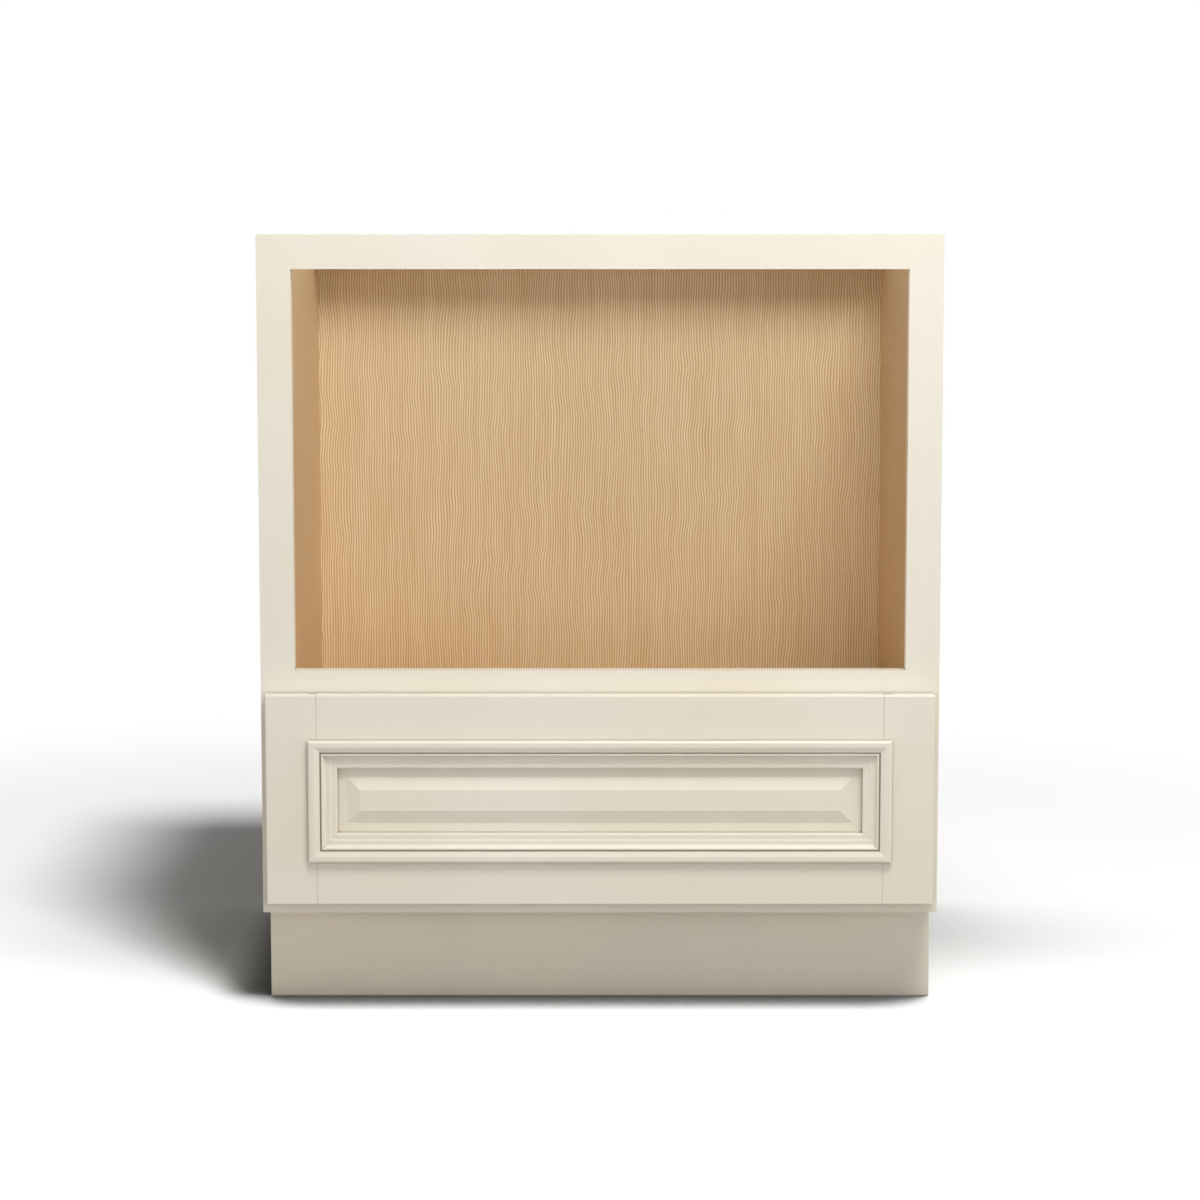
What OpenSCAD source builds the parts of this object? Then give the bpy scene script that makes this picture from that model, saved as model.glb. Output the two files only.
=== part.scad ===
// Kitchen base cabinet with an open microwave niche above one full-width drawer.
// Millimetres. X is centred, +X is the right hand seen from the front, +Y runs to the wall, +Z is up.
// The origin lies on the floor, under the middle of the whole object.
// The left of each pair of pieces is the mirror image of the right one, so both come from one module.

/* [Case] */
// Width over the face frame and the side panels
cab_w = 762; // [610:1:914]
// Height without a worktop
cab_h = 876.3; // [850:0.1:914]
// Depth from the front of the face frame to the wall
cab_d = 609.6; // [520:0.1:660]
// Thickness of the side panels
side_t = 15.9; // [12:0.1:19]
// Thickness of the floor panel
floor_t = 15.9; // [12:0.1:19]
// Thickness of the back panel
back_t = 6.35; // [4:0.05:9]
// Thickness of the hanging rails behind the back panel
hang_t = 12.7; // [10:0.1:19]
// Height of the hanging rails
hang_h = 76.2; // [60:0.1:100]
// Depth of the grooves that hold the panels
groove_d = 5; // [3:0.1:6]
// Slack beside a panel in its groove
slack = 0.2; // [0.1:0.05:0.4]

/* [Face frame] */
// Thickness of the face frame
frame_t = 19.05; // [16:0.05:22]
// Width of its stiles
stile_w = 38.1; // [32:0.1:50]
// Height of its rails
rail_h = 38.1; // [32:0.1:50]
// Length of the rails' tenons
tenon_l = 12; // [8:0.5:20]
// Thickness of the rails' tenons
tenon_t = 6.4; // [5:0.1:8]
// Depth of a rail's shoulder over and under its tenon
shoulder = 6; // [4:0.5:9]
// Height of the drawer opening; the niche takes the rest of the height
drawer_open_h = 200; // [180:0.1:240]

/* [Toe space] */
// Height of the toe space
kick_h = 114.3; // [95:0.1:120]
// Depth of the toe space from the front of the face frame
kick_d = 76.2; // [60:0.1:90]
// Thickness of the toe kick board
kick_t = 6.35; // [5:0.05:13]

/* [Microwave deck] */
// Thickness of the deck
deck_t = 12.7; // [10:0.1:16]
// Drop from the top of the middle rail to the top of the deck
deck_drop = 78.5; // [76:0.1:84]
// Thickness of the board behind the middle rail that carries the deck
deck_rail_t = 15.9; // [12:0.1:19]
// Distance of that board's top below the top of the middle rail
deck_rail_down = 14; // [8:0.5:20]
// Reach of the deck's tongue into that board
deck_tongue = 6; // [4:0.5:8]
// Thickness of the tongue round the deck
deck_tongue_t = 6.35; // [5:0.05:8]
// Wood of that board under the deck
deck_lip = 8; // [6:0.5:10]

/* [Top] */
// Width of the back stretcher
stretcher_w = 80; // [60:0.5:100]
// Thickness of the back stretcher and the front corner braces
stretcher_t = 19.05; // [15:0.05:22]
// Length of a corner brace along the frame and along the side
brace_leg = 100; // [80:1:130]
// Width of a corner brace's square ends
brace_end = 14; // [8:1:20]
// Radius of the worktop screw holes
worktop_hole_r = 3; // [2:0.1:4]
// Distance of the worktop screw holes from the inner faces
worktop_hole_in = 34; // [25:0.5:40]

/* [Drawer front] */
// Thickness of the drawer front
front_t = 19.05; // [16:0.05:22]
// Gap between the drawer front and the face frame
front_gap = 1.8; // [1.2:0.1:3]
// Frame left in view beside the drawer front
reveal_side = 6.35; // [3:0.05:12]
// Frame left in view under the drawer front
reveal_bottom = 12.7; // [6:0.1:20]
// Middle rail left in view over the drawer front
reveal_top = 25.4; // [18:0.1:30]
// Rounding of the outer front edges
front_edge_r = 2; // [1:0.1:3]
// Width of the stiles of the drawer front
front_stile_w = 57.15; // [52:0.05:62]
// Height of its rails
front_rail_h = 57.15; // [53:0.05:62]
// Drop of the panel and its moulding below the middle of the drawer front
front_low = 1.1; // [0:0.1:2]
// Depth of the groove for the raised panel
front_groove_d = 10; // [8:0.1:12]
// Drop from the frame of the drawer front to the flat margin of the raised panel
panel_drop = 9.5; // [8.5:0.1:10.5]
// Thickness of the tongue round the raised panel
panel_tongue = 6.3; // [5:0.1:6.5]
// Flat margin in view between the moulding and the bevel
panel_margin = 10.8; // [8:0.1:14]
// Width of the bevel
panel_bevel = 14.4; // [10:0.1:18]
// Height of the bevel
panel_rise = 4.5; // [3.5:0.1:6]
// Room for the panel to swell in its groove
panel_float = 2; // [1:0.1:3]
// Gap beside the thick back of the raised panel
panel_back_gap = 1; // [0.5:0.1:2]
// Radius of the round bumpers behind the drawer front
bumper_r = 5; // [3:0.1:5]
// Distance of the bumpers from the edges of the drawer front
bumper_in = 9; // [6:0.1:11]

/* [Moulding] */
// Width of the moulding
mould_w = 32.5; // [31:0.1:36]
// Height of its crest over the drawer front
mould_proud = 7; // [5.5:0.1:8]
// Distance from the sides of the drawer front
mould_side = 47.6; // [45:0.1:50]
// Distance from the top and bottom of the drawer front
mould_end = 49.7; // [47:0.1:51]
// Rounding of the crest's outer side
crest_r = 3.3; // [2.6:0.1:3.4]
// Width of the crest, from the outer edge
crest_w = 7.2; // [6.8:0.1:8]
// Drop of the slope inside the crest
crest_drop = 2.2; // [1.6:0.1:2.6]
// Width of the quirk, the narrow groove between the slope and the bead
quirk_w = 1.2; // [0.8:0.1:1.6]
// Height of the quirk's floor
quirk_v = 2.2; // [1.2:0.1:2.4]
// Place of the bead's outer side, from the outer edge
bead_at = 14.4; // [13.8:0.1:15]
// Radius of the small bead
bead_r = 1.5; // [1.2:0.1:1.6]
// Height of the bead's middle, which is also the cove's
bead_v = 2.6; // [2.4:0.1:2.8]
// Depth of the flat inner steps under the face of the drawer front
step_v = 1.1; // [0.6:0.1:1.4]
// Width of the step beside the cove
step_w = 3.2; // [2:0.1:3.6]
// Width of the slope from that step to the inner flat
step_slope = 2.4; // [1.5:0.1:3]
// Depth of the inner flat under the face of the drawer front
inner_v = 2; // [1.6:0.1:2.5]
// Chamfer of the inner edge
inner_chamfer = 1.6; // [1:0.1:2]

/* [Drawer box] */
// Gap between the drawer box and the opening on each side
box_gap = 4.9; // [4:0.1:8]
// Thickness of the sides, front and back of the box
box_t = 15.9; // [12:0.1:16]
// Height of the box over the bottom of the opening
box_lift = 14; // [13:0.1:18]
// Gap between the box and the deck over it
box_top_gap = 13; // [6:0.5:20]
// Thickness of the bottom
bottom_t = 9.5; // [6:0.1:12]
// Depth of the space under the bottom that the runners take
bottom_up = 12.7; // [12:0.1:14]
// Depth of the groove for the bottom
bottom_groove = 6; // [4:0.1:7]
// Dovetails at each corner
tail_count = 4; // [3:1:6]
// Height of a dovetail at its wide end
tail_wide = 20; // [16:0.5:22]
// Height of a dovetail at its root
tail_root = 15; // [12:0.5:15]
// Rounding of the top edges of the box
box_edge_r = 2.5; // [1:0.1:4]
// Slack round a dovetail
tail_slack = 0.1; // [0.05:0.05:0.2]

/* [Runners] */
// Step in which the runners' lengths are sold
runner_step = 76.2; // [50:0.1:80]
// Least length of the rear brackets
bracket_min = 20; // [15:1:30]
// Thickness of the runners' steel
steel_t = 1.5; // [1.2:0.1:1.6]
// Height of the fixed rail over the bottom of the opening
runner_lift = 2; // [1.8:0.1:2.6]
// Setback of the fixed rail behind the front of the face frame
runner_back = 2; // [1:0.5:4]
// Distance of the track's middle from the inner face of the box side
track_in = 17.1; // [17:0.1:20]
// Height of the outer flange of the fixed rail
flange_h = 22; // [18:0.5:24]
// Width of the top of the fixed track
track_w = 11; // [10:0.1:12]
// Inner width of the middle runner
middle_w = 15; // [14.6:0.1:15.6]
// Width of the flange of the middle runner
middle_flange_w = 26; // [24:0.1:26.4]
// Inner width of the drawer runner
outer_w = 30; // [29.4:0.1:30.2]
// Height of the middle runner under its flange
middle_h = 10; // [9.6:0.1:10.4]
// Radius of the lower rollers
roller_lo_r = 2.2; // [2:0.05:2.3]
// Radius of the upper rollers
roller_hi_r = 3.5; // [3.2:0.05:3.6]
// Running gap over and under a roller
run_gap = 0.3; // [0.2:0.05:0.4]
// Width of the lips that hold one runner on the next
lip_w = 4; // [3.5:0.1:4.5]
// Gap between the box front and the moving runners
runner_front_gap = 4; // [3:0.5:8]
// Length by which the middle runner stops short of the fixed rail's end
middle_short = 42; // [20:1:50]
// Depth of the drawer runner's walls under the flange that they hold
skirt_drop = 5; // [4.6:0.1:5.2]
// Radius of the hook that enters the back of the drawer box
hook_r = 3; // [2:0.1:3.5]
// Length of that hook
hook_l = 8; // [6:0.5:10]
// Width of the tab that carries the hook
hook_tab_w = 10; // [8:0.5:14]
// Height of the hook over the drawer bottom
hook_up = 6; // [5:0.5:10]
// Rollers in a cage
roller_count = 6; // [4:1:8]
// Length of a roller cage
cage_l = 190; // [150:1:200]
// Thickness of a cage
cage_t = 1.6; // [1.2:0.1:2]
// Width of a cage's rim beside its rollers
cage_rim = 1.5; // [1:0.1:1.6]
// Place of the lower cages, as a share of the fixed rail
lower_cage_at = 0.25; // [0.24:0.01:0.26]
// Place of the upper cages, as a share of the fixed rail
upper_cage_at = 0.32; // [0.31:0.01:0.34]

/* [Runner fittings] */
// Width of a locking device
lock_w = 34; // [30:0.5:38]
// Height of a locking device
lock_h = 11; // [10.5:0.1:11.5]
// Length of a locking device
lock_l = 46; // [44:0.5:50]
// Length of the solid rear block of a locking device
lock_block = 13; // [11:0.5:15]
// Gap between a locking device and the drawer runner
lock_gap = 2; // [1.5:0.1:3]
// Thickness of a locking device's front wall
lock_wall = 2; // [1.5:0.1:3]
// Thickness of a release lever
lever_t = 4; // [3:0.1:4.4]
// Width of a release lever's arms
lever_w = 5; // [4:0.1:5]
// Reach of a release lever's pad past the locking device
pad_reach = 12; // [8:0.5:14]
// Width of the pad
pad_w = 6; // [5:0.5:8]
// Length of the pad
pad_l = 11; // [9:0.5:12]
// Gap over and under a release lever
lever_gap = 0.3; // [0.2:0.05:0.5]
// Distance of the pivot from the locking device's outer face
pivot_side = 17; // [14:0.5:18]
// Distance of the pivot from the box front
pivot_in = 18; // [16:0.5:19]
// Wall of a release lever round its pivot
hub_wall = 3; // [2:0.1:3.5]
// Radial play of a release lever on its pivot
pivot_play = 0.08; // [0.05:0.01:0.1]
// Radius of the pivot of a release lever
pivot_r = 2.5; // [2:0.1:3]
// Length of a damper housing
damper_l = 150; // [100:1:180]
// Width of a damper housing
damper_w = 16; // [14:0.5:18]
// Gap between a damper housing and the drawer runner
damper_gap = 3; // [2:0.5:4]
// Distance of a damper housing from the rear end of the fixed rail
damper_back = 6; // [4:0.5:10]
// Floor under a damper's slot
damper_floor = 4; // [3:0.1:4.5]
// Gap between a damper housing and the drawer box over it
damper_top_gap = 1; // [0.8:0.1:1.5]
// Width of the striker that enters the slot
striker_w = 4; // [3:0.1:5]
// Thickness of the striker's arm
striker_t = 1.5; // [1.2:0.1:1.6]
// Distance of the striker from the rear end of the damper housing
striker_in = 28; // [24:0.5:36]
// Gap round the striker in the slot
striker_gap = 0.6; // [0.4:0.1:0.8]
// Length of a rear bracket's sleeve round the fixed rail
sleeve_l = 30; // [20:0.5:40]
// Reach of a rear bracket past the track
bracket_reach = 12; // [8:0.5:14]
// Height of a rear bracket
bracket_h = 40; // [34:0.5:44]

/* [Screws] */
// Radius of a screw's shank
screw_r = 2; // [1.5:0.1:2.4]
// Radius of a screw's head
head_r = 3.6; // [3:0.1:4]
// Height of a screw's head
head_h = 2; // [1.5:0.1:2.2]
// Radial slack of a screw in its hole
screw_slack = 0.05; // [0.02:0.01:0.1]
// Length of the screws of the fixed rails and their brackets
rail_screw_l = 16; // [12:0.5:17]
// Height of the rail screws over the fixed rail's underside
rail_screw_up = 6; // [5:0.1:6.5]
// Distance of the bracket screws from the bracket's ends
bracket_screw_in = 9; // [7:0.5:11]
// Distance of the bracket screws from the opening's edge
bracket_screw_side = 16; // [12:0.5:24]
// Wood that the locking devices' screws enter
lock_screw_bite = 6; // [4:0.5:6]
// Distance of those screws from the sides of the locking device
lock_screw_in = 7; // [6:0.5:9]
// Length of the screws that hold the drawer front
front_screw_l = 27; // [25:0.5:28]
// Distance of those screws from the middle
front_screw_x = 220; // [180:1:240]

/* [Hidden] */
$fn = 64;
cut = 1; // how far a cutting body reaches past a face
arc_steps = 12; // straight lines along an arc of the moulding's section
cove_bite = 0.2; // how far the cove cuts into the bead beside it

// Depths, from the front to the wall
depth_all = mould_proud + front_t + front_gap + cab_d;
front_y = -depth_all / 2 + mould_proud; // face of the drawer front's frame
front_back_y = front_y + front_t;
face_y = front_back_y + front_gap; // front of the face frame
frame_back_y = face_y + frame_t;
wall_y = face_y + cab_d;
back_y = wall_y - hang_t - back_t; // front of the back panel
kick_y = face_y + kick_d;

// Widths and heights of the case
in_x = cab_w / 2 - side_t; // inner face of a side panel
open_x = cab_w / 2 - stile_w; // inner edge of a stile
top_rail_z = cab_h - rail_h;
open_z = kick_h + rail_h; // bottom of the drawer opening
mid_rail_z = open_z + drawer_open_h;
niche_z = mid_rail_z + rail_h; // top of the middle rail, bottom of the niche
deck_top = niche_z - deck_drop;
deck_z = deck_top - deck_t;
deck_rail_y = frame_back_y + deck_rail_t;

// Drawer front
front_w = cab_w - 2 * reveal_side;
front_z0 = kick_h + reveal_bottom;
front_z1 = niche_z - reveal_top;
front_h = front_z1 - front_z0;
front_mid_z = (front_z0 + front_z1) / 2;
front_open_z = front_mid_z - front_low; // middle of the opening for the raised panel
margin_y = front_y + panel_drop;
tongue_y = margin_y + panel_tongue;
mould_rabbet = max(front_stile_w - mould_side, front_rail_h - mould_end) + slack;

// Drawer box
box_w = 2 * (open_x - box_gap);
box_in = box_w / 2 - box_t; // inner face of a box side
box_z0 = open_z + box_lift;
box_z1 = deck_z - box_top_gap;
box_h = box_z1 - box_z0;
bottom_z = box_z0 + bottom_up; // underside of the bottom
runner_l = floor((cab_d - hang_t - back_t - runner_back - bracket_min) / runner_step) * runner_step;
box_y0 = front_back_y;
box_y1 = box_y0 + runner_l;
box_in_y = box_y0 + box_t; // inner face of the box front
tail_pitch = box_h / tail_count;

// Runners: a is the distance from the middle of the cabinet, z the height
track_a = box_in - track_in;
drawer_runner_z = bottom_z - steel_t; // underside of the drawer runner's top
middle_top = drawer_runner_z - 2 * (roller_hi_r + run_gap);
middle_z = middle_top - steel_t - middle_h;
track_top = middle_top - steel_t - 2 * (roller_lo_r + run_gap);
rail_z = open_z + runner_lift;
rail_y = face_y + runner_back;
rail_y1 = rail_y + runner_l;
runner_y = box_in_y + runner_front_gap; // front of the middle and drawer runners
middle_y1 = rail_y1 - middle_short;
runner_a = track_a - outer_w / 2 - steel_t; // side of the drawer runner that faces the cabinet's middle
damper_a = runner_a - damper_gap - damper_w; // inner face of a damper housing
damper_y1 = rail_y1 - damper_back;
damper_z = rail_z + steel_t;
striker_a = damper_a + damper_w / 2;
striker_y = damper_y1 - striker_in;
striker_z = box_z0 - striker_gap; // underside of the striker's arm
hook_z = bottom_z + bottom_t + hook_up;
hook_y = box_y1 + slack;
lower_cage_y = rail_y + runner_l * lower_cage_at;
upper_cage_y = rail_y + runner_l * upper_cage_at;

// Locking devices and levers
lock_a1 = runner_a - lock_gap;
lock_a0 = lock_a1 - lock_w;
lock_z = bottom_z - lock_h;
lever_z = bottom_z - lock_h / 2 - lever_t / 2;
pivot_a = lock_a1 - pivot_side;
pivot_y = box_in_y + pivot_in;
lever_hub_r = pivot_r + hub_wall;
lever_sweep = lever_hub_r + lever_w / 2; // half length of the notch that the lever's catch sweeps

// The node to draw, or all of them

// A box from one corner to the opposite one
module block(from, to) {
  translate(from) cube(to - from);
}

// An outline of [y, z] points run along X, from a0 to a1
module run_x(a0, a1) {
  translate([a0, 0, 0]) rotate([90, 0, 90]) linear_extrude(a1 - a0) children();
}

// An outline of [x, z] points run along Y, from y0 to y1
module run_y(y0, y1) {
  translate([0, y1, 0]) rotate([90, 0, 0]) linear_extrude(y1 - y0) children();
}

// A box that spans the cabinet's middle plane
module span(half_x, y0, y1, z0, z1) {
  block([-half_x, y0, z0], [half_x, y1, z1]);
}

module flip_x() {
  mirror([1, 0, 0]) children();
}

module both_sides() {
  children();
  flip_x() children();
}

// ---- Screws: each stands at its head's seat and points along dir ----

module along(at, dir) {
  turn = dir == "+x" ? [0, 90, 0] : dir == "+y" ? [-90, 0, 0] : dir == "-y" ? [90, 0, 0] : [0, 0, 0];
  translate(at) rotate(turn) children();
}

module screw(at, dir, length) {
  along(at, dir) {
    cylinder(r = screw_r, h = length);
    translate([0, 0, -head_h]) cylinder(r = head_r, h = head_h);
  }
}

module screw_hole(at, dir, length) {
  along(at, dir) translate([0, 0, -cut]) cylinder(r = screw_r + screw_slack, h = length + cut + slack);
}

rail_screw_at = [open_x - steel_t, face_y + frame_t / 2, rail_z + rail_screw_up];
bracket_screw_at = [
  for (z = [rail_z + bracket_screw_in, rail_z + bracket_h - bracket_screw_in])
    [open_x - bracket_screw_side, back_y - steel_t, z]
];
front_screws_at = [for (share = [-1, -1 / 3, 1 / 3, 1]) [share * front_screw_x, box_in_y, front_mid_z]];
lock_screw_l = lock_h + lock_screw_bite;
lock_screws_at = [
  for (a = [lock_a0 + lock_screw_in, lock_a1 - lock_screw_in])
    [a, box_in_y + lock_l - lock_block / 2, lock_z]
];
worktop_hole_x = in_x - worktop_hole_in;
worktop_hole_front_y = frame_back_y + worktop_hole_in;
worktop_hole_back_y = back_y - stretcher_w / 2;

// ---- Face frame ----

frame_mid_y = face_y + frame_t / 2;

// The tenons at both ends of a rail, or with room round them, the mortises for them
module tenons(z0, z1, room) {
  half_t = (tenon_t + room) / 2;
  both_sides() block([open_x - cut, frame_mid_y - half_t, z0 + shoulder - room / 2],
                     [open_x + tenon_l + room, frame_mid_y + half_t, z1 - shoulder + room / 2]);
}

module frame_rail(z0, z1) {
  color("antiquewhite") {
    span(open_x, face_y, frame_back_y, z0, z1);
    tenons(z0, z1, 0);
  }
}

module stile() {
  color("antiquewhite") difference() {
    block([open_x, face_y, kick_h], [cab_w / 2, frame_back_y, cab_h]);
    tenons(top_rail_z, cab_h, slack);
    tenons(mid_rail_z, niche_z, slack);
    tenons(kick_h, open_z, slack);
    screw_hole(rail_screw_at, "+x", rail_screw_l);
  }
}

module right_stile() stile();
module left_stile() flip_x() stile();
module top_rail() frame_rail(top_rail_z, cab_h);
module middle_rail() frame_rail(mid_rail_z, niche_z);
module bottom_rail() frame_rail(kick_h, open_z);

// ---- Case ----

// The cut that a board of the case takes out of both side panels
module side_groove(y0, y1, z0, z1) {
  span(in_x + groove_d, y0 - slack, y1 + slack, z0, z1 + slack);
}

module side_panel() {
  toe = kick_y + kick_t;
  color("antiquewhite") difference() {
    run_x(in_x, cab_w / 2)
      polygon([
        [frame_back_y, kick_h], [toe, kick_h], [toe, 0],
        [wall_y, 0], [wall_y, cab_h], [frame_back_y, cab_h]
      ]);
    side_groove(frame_back_y - cut, back_y, open_z - floor_t, open_z);
    side_groove(deck_rail_y - deck_tongue, back_y, deck_z, deck_z + deck_tongue_t);
    side_groove(back_y, back_y + back_t, open_z - floor_t, cab_h + cut);
    side_groove(back_y - stretcher_w, back_y, cab_h - stretcher_t, cab_h + cut);
  }
}

module right_side_panel() side_panel();
module left_side_panel() flip_x() side_panel();

module back_panel() {
  color("burlywood") difference() {
    span(in_x + groove_d - slack, back_y, back_y + back_t, open_z - floor_t, cab_h);
    both_sides() for (at = bracket_screw_at) screw_hole(at, "+y", rail_screw_l);
  }
}

module upper_hanging_rail() {
  color("burlywood") span(in_x, wall_y - hang_t, wall_y, cab_h - hang_h, cab_h);
}

module lower_hanging_rail() {
  color("burlywood") difference() {
    span(in_x, wall_y - hang_t, wall_y, open_z - floor_t, open_z - floor_t + hang_h);
    both_sides() for (at = bracket_screw_at) screw_hole(at, "+y", rail_screw_l);
  }
}

module floor_panel() {
  color("burlywood") span(in_x + groove_d - slack, frame_back_y, back_y, open_z - floor_t, open_z);
}

module toe_kick_board() {
  color("antiquewhite") span(cab_w / 2, kick_y, kick_y + kick_t, 0, kick_h);
}

// Rests on a tongue in the side panels and in the board behind the middle rail
module microwave_deck() {
  color("burlywood") {
    span(in_x + groove_d - slack, deck_rail_y - deck_tongue + slack, back_y,
         deck_z, deck_z + deck_tongue_t);
    span(in_x - slack / 2, deck_rail_y + slack / 2, back_y, deck_z, deck_top);
  }
}

// Stands behind the middle rail and carries the deck's front edge in its groove
module deck_front_board() {
  color("burlywood") difference() {
    span(in_x, frame_back_y, deck_rail_y, deck_z - deck_lip, niche_z - deck_rail_down);
    span(in_x + cut, deck_rail_y - deck_tongue, deck_rail_y + cut, deck_z, deck_z + deck_tongue_t + slack);
  }
}

module worktop_hole(x, y) {
  translate([x, y, cab_h - stretcher_t - cut]) cylinder(r = worktop_hole_r, h = stretcher_t + 2 * cut);
}

module back_stretcher() {
  color("burlywood") difference() {
    span(in_x + groove_d - slack, back_y - stretcher_w, back_y, cab_h - stretcher_t, cab_h);
    both_sides() worktop_hole(worktop_hole_x, worktop_hole_back_y);
  }
}

module corner_brace() {
  difference() {
    translate([0, 0, cab_h - stretcher_t]) linear_extrude(stretcher_t)
      polygon([
        [in_x, frame_back_y], [in_x, frame_back_y + brace_leg],
        [in_x - brace_end, frame_back_y + brace_leg],
        [in_x - brace_leg, frame_back_y + brace_end], [in_x - brace_leg, frame_back_y]
      ]);
    worktop_hole(worktop_hole_x, worktop_hole_front_y);
  }
}

module front_corner_braces() {
  color("burlywood") both_sides() corner_brace();
}

// ---- Fixed rails of the runners ----

module fixed_rail() {
  flange_a = open_x - steel_t;
  base_a = damper_a - 2;
  color("silver") difference() {
    run_y(rail_y, rail_y1) {
      translate([flange_a, rail_z]) square([steel_t, flange_h]);
      translate([base_a, rail_z]) square([open_x - base_a, steel_t]);
      translate([track_a - steel_t / 2, rail_z]) square([steel_t, track_top - rail_z]);
      translate([track_a - track_w / 2, track_top - steel_t]) square([track_w, steel_t]);
    }
    screw_hole(rail_screw_at, "+x", rail_screw_l);
  }
}

module right_fixed_rail() fixed_rail();
module left_fixed_rail() flip_x() fixed_rail();

// Sleeves that carry the rear end of the fixed rails on the back panel
module rear_rail_bracket() {
  sleeve_y = rail_y1 - sleeve_l;
  end_a = track_a - bracket_reach;
  difference() {
    union() {
      block([open_x, sleeve_y, rail_z - steel_t], [open_x + steel_t, back_y, rail_z + flange_h]);
      block([end_a, sleeve_y, rail_z - steel_t], [open_x + steel_t, back_y, rail_z]);
      block([end_a, back_y - steel_t, rail_z - steel_t], [open_x + steel_t, back_y, rail_z + bracket_h]);
    }
    for (at = bracket_screw_at) screw_hole(at, "+y", rail_screw_l);
  }
}

module rear_rail_brackets() {
  color("silver") both_sides() rear_rail_bracket();
}

module bracket_screws() {
  color("dimgray") both_sides() for (at = bracket_screw_at) screw(at, "+y", rail_screw_l);
}

module rail_screws() {
  color("dimgray") both_sides() screw(rail_screw_at, "+x", rail_screw_l);
}

// Housing of the soft-close damper, with the slot that the drawer runner's striker enters
module damper_housing() {
  top_z = box_z0 - damper_top_gap;
  half_slot = striker_w / 2 + striker_gap;
  color("gainsboro") difference() {
    block([damper_a, damper_y1 - damper_l, damper_z], [damper_a + damper_w, damper_y1, top_z]);
    block([striker_a - half_slot, damper_y1 - damper_l - cut, damper_z + damper_floor],
          [striker_a + half_slot, striker_y + striker_w + striker_gap, top_z + cut]);
  }
}

module right_damper_housing() damper_housing();
module left_damper_housing() flip_x() damper_housing();

// ---- Moving runners ----

module middle_runner() {
  wall_a = middle_w / 2;
  color("silver") run_y(runner_y, middle_y1) difference() {
    union() {
      translate([track_a - wall_a - steel_t, middle_z])
        square([middle_w + 2 * steel_t, middle_h + steel_t]);
      translate([track_a - middle_flange_w / 2, middle_top - steel_t]) square([middle_flange_w, steel_t]);
    }
    translate([track_a - wall_a, middle_z + steel_t]) square([middle_w, middle_h - steel_t]);
    translate([track_a - wall_a + lip_w, middle_z - cut]) square([middle_w - 2 * lip_w, middle_h]);
  }
}

module right_middle_runner() middle_runner();
module left_middle_runner() flip_x() middle_runner();

// A strip with windows, and one roller in each window
module roller_cage(y0, z, roller_r, roller_w) {
  pitch = cage_l / roller_count;
  module at_rollers() {
    for (i = [0:roller_count - 1]) translate([track_a, y0 + (i + 0.5) * pitch, z]) children();
  }
  color("linen") difference() {
    translate([track_a - roller_w / 2 - cage_rim, y0, z - cage_t / 2])
      cube([roller_w + 2 * cage_rim, cage_l, cage_t]);
    at_rollers() cube([roller_w + 2 * run_gap, 2 * (roller_r + run_gap), 3 * cage_t], center = true);
  }
  color("white") at_rollers() rotate([0, 90, 0]) cylinder(r = roller_r, h = roller_w, center = true);
}

lower_roller_w = track_w - 2;
upper_roller_w = middle_flange_w - 8;

module lower_cage() {
  roller_cage(lower_cage_y, track_top + run_gap + roller_lo_r, roller_lo_r, lower_roller_w);
}

module upper_cage() {
  roller_cage(upper_cage_y, middle_top + run_gap + roller_hi_r, roller_hi_r, upper_roller_w);
}

module right_lower_roller_cage() lower_cage();
module left_lower_roller_cage() flip_x() lower_cage();
module right_upper_roller_cage() upper_cage();
module left_upper_roller_cage() flip_x() upper_cage();

module drawer_runner() {
  wall_a = outer_w / 2;
  skirt = middle_top - steel_t - skirt_drop; // underside of the walls
  color("silver") difference() {
    union() {
      run_y(runner_y, hook_y + steel_t) difference() {
        translate([runner_a, skirt]) square([outer_w + 2 * steel_t, bottom_z - skirt]);
        translate([track_a - wall_a, skirt + steel_t]) square([outer_w, drawer_runner_z - skirt - steel_t]);
        translate([track_a - wall_a + lip_w, skirt - cut]) square([outer_w - 2 * lip_w, 2 * steel_t + cut]);
      }
      // Hook that enters the back of the drawer box
      block([track_a - hook_tab_w / 2, hook_y, drawer_runner_z],
            [track_a + hook_tab_w / 2, hook_y + steel_t, hook_z + hook_tab_w / 2]);
      translate([track_a, hook_y + steel_t / 2, hook_z]) rotate([90, 0, 0])
        cylinder(r = hook_r, h = hook_l);
      // Striker that enters the damper's slot
      block([striker_a - striker_w / 2, striker_y, striker_z],
            [runner_a + steel_t / 2, striker_y + striker_w, striker_z + striker_t]);
      block([striker_a - striker_w / 2, striker_y, damper_z + damper_floor + striker_gap],
            [striker_a + striker_w / 2, striker_y + striker_w, striker_z + striker_t]);
    }
    // Notch for the release lever's catch
    block([runner_a - cut, pivot_y - lever_sweep, lever_z - 2 * lever_gap],
          [track_a - wall_a + 0.01, pivot_y + lever_sweep, lever_z + lever_t + 2 * lever_gap]);
  }
}

module right_drawer_runner() drawer_runner();
module left_drawer_runner() flip_x() drawer_runner();

// ---- Drawer box ----

tail_z = [for (i = [0:tail_count - 1]) box_z0 + (i + 0.5) * tail_pitch];

// Height of a dovetail at a distance from its root, with room round it
function tail_at(reach, room) = tail_root + (tail_wide - tail_root) * reach / box_t + 2 * room;

// One end of a box side, as [y, z] points that run upwards
function tail_outline(root_y, end_y) = [
  for (z = tail_z) each [
    [root_y, z - tail_root / 2], [end_y, z - tail_wide / 2],
    [end_y, z + tail_wide / 2], [root_y, z + tail_root / 2]
  ]
];

function reversed(points) = [for (i = [len(points) - 1:-1:0]) points[i]];

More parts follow.
